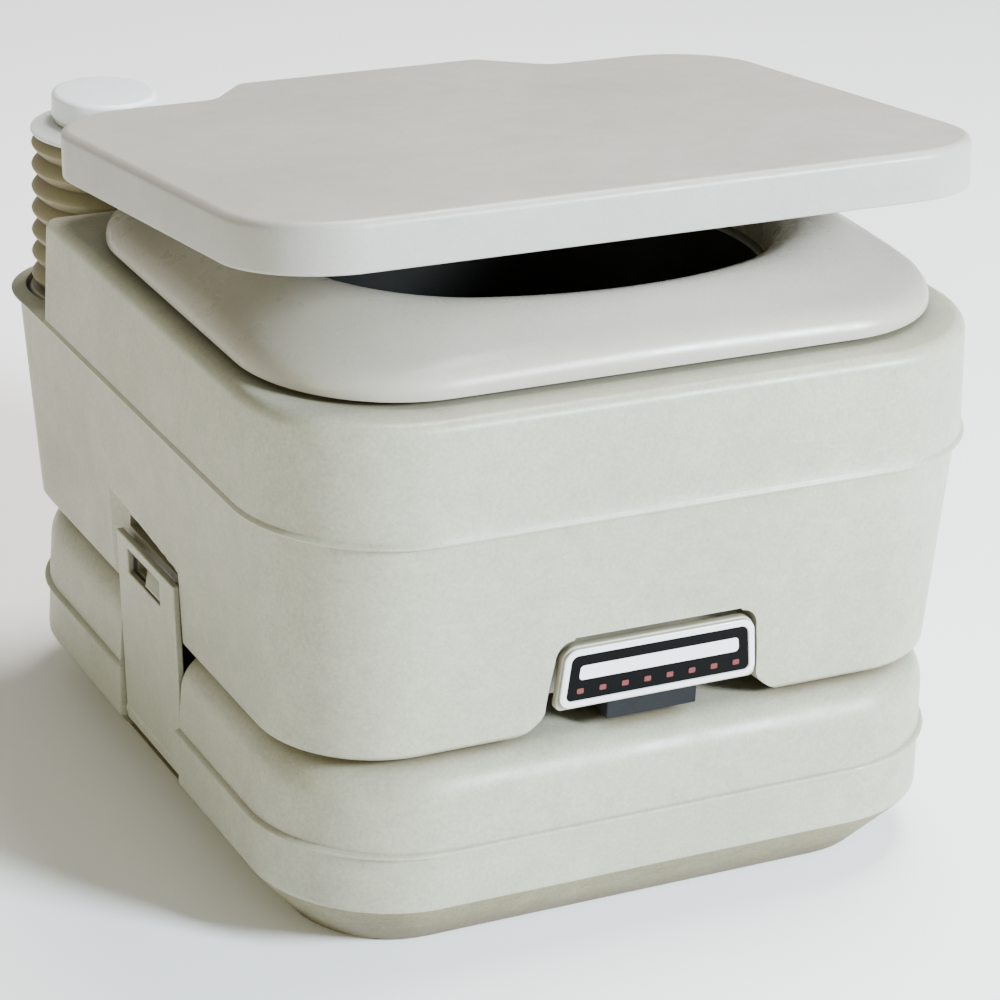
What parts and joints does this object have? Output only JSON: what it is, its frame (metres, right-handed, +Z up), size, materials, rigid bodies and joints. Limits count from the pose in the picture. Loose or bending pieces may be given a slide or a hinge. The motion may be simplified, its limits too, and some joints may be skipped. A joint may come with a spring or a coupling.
{
  "type": "portable toilet",
  "caption": "Compact portable toilet: flush tank with bowl on a holding tank, hinged seat and lid, bellows pump, slide valve and side latches.",
  "frame": {"origin": "on the floor, in the middle of the base under the bowl outlet region", "axes": "+X to the viewer's right facing the front, +Y to the back, +Z up"},
  "size_m": [0.352, 0.3835, 0.3273],
  "materials": {
    "shell_plastic": "fine moulded grain, warm pale grey",
    "lid_plastic": "satin, pale grey",
    "white_plastic": "smooth white",
    "bellows_plastic": "soft tan polyethylene",
    "valve_plastic": "moulded dark grey",
    "label_plastic": "black plate with a pale border",
    "rubber": "moulded rubber",
    "steel": "bright drawn",
    "tube_plastic": "milky vinyl"
  },
  "bodies": {
    "tanks": {"bowl_seal": "rubber", "discharge_cap_gasket": "rubber", "fill_cap_seal": "rubber", "flush_nozzle": "shell_plastic", "flush_tank": "shell_plastic", "flush_tube": "tube_plastic", "holding_tank": "shell_plastic", "left_hinge_pin": "steel", "left_latch_pin": "steel", "pump_base": "shell_plastic", "pump_bellows": "bellows_plastic", "pump_intake_tube": "tube_plastic", "pump_strainer": "valve_plastic", "pump_valve_disc": "rubber", "right_hinge_pin": "steel", "right_latch_pin": "steel", "valve_bottom_plate": "valve_plastic", "valve_screw_1": "steel", "valve_screw_2": "steel", "valve_screw_3": "steel", "valve_screw_4": "steel", "valve_seal": "rubber", "valve_top_plate": "valve_plastic"},
    "seat": {"seat": "shell_plastic", "seat_bumper_1": "rubber", "seat_bumper_2": "rubber", "seat_bumper_3": "rubber", "seat_bumper_4": "rubber"},
    "lid": {"lid": "lid_plastic", "lid_bumper_1": "rubber", "lid_bumper_2": "rubber"},
    "pump_top": {"pump_flange": "white_plastic", "pump_knob": "white_plastic"},
    "valve_slide": {"valve_blade": "valve_plastic", "valve_handle": "shell_plastic", "label_plate": "label_plastic"},
    "left_latch": {"left_latch": "shell_plastic"},
    "right_latch": {"right_latch": "shell_plastic"},
    "fill_cap": {"fill_cap": "shell_plastic"},
    "discharge_cap": {"discharge_cap": "shell_plastic"}
  },
  "joints": [
    {"name": "seat_hinge", "type": "hinge", "parent": "tanks", "child": "seat", "pos_m": [0, 0.157, 0.266], "axis": [-1, 0, 0], "range_deg": [0, 28]},
    {"name": "lid_hinge", "type": "hinge", "parent": "seat", "child": "lid", "pos_m": [0, 0.157, 0.266], "axis": [-1, 0, 0], "range_deg": [-7.2, 83]},
    {"name": "pump_press", "type": "slide", "parent": "tanks", "child": "pump_top", "axis": [0, 0, -1], "range_m": [0, 0.038], "stiffness_N_per_m": 400, "springref_m": -0.004, "deforming": ["pump_bellows"]},
    {"name": "valve_pull", "type": "slide", "parent": "tanks", "child": "valve_slide", "axis": [0, -1, 0], "range_m": [0, 0.108]},
    {"name": "left_latch_hinge", "type": "hinge", "parent": "tanks", "child": "left_latch", "pos_m": [-0.157, 0.007, 0.032], "axis": [0, -1, 0], "range_deg": [0, 85]},
    {"name": "right_latch_hinge", "type": "hinge", "parent": "tanks", "child": "right_latch", "pos_m": [0.157, 0.007, 0.032], "axis": [0, 1, 0], "range_deg": [0, 85]},
    {"name": "fill_cap_lift", "type": "slide", "parent": "tanks", "child": "fill_cap", "axis": [0, 0, 1], "range_m": [0, 0.022]},
    {"name": "discharge_cap_pull", "type": "slide", "parent": "tanks", "child": "discharge_cap", "axis": [0, 1, 0], "range_m": [0, 0.04]}
  ]
}
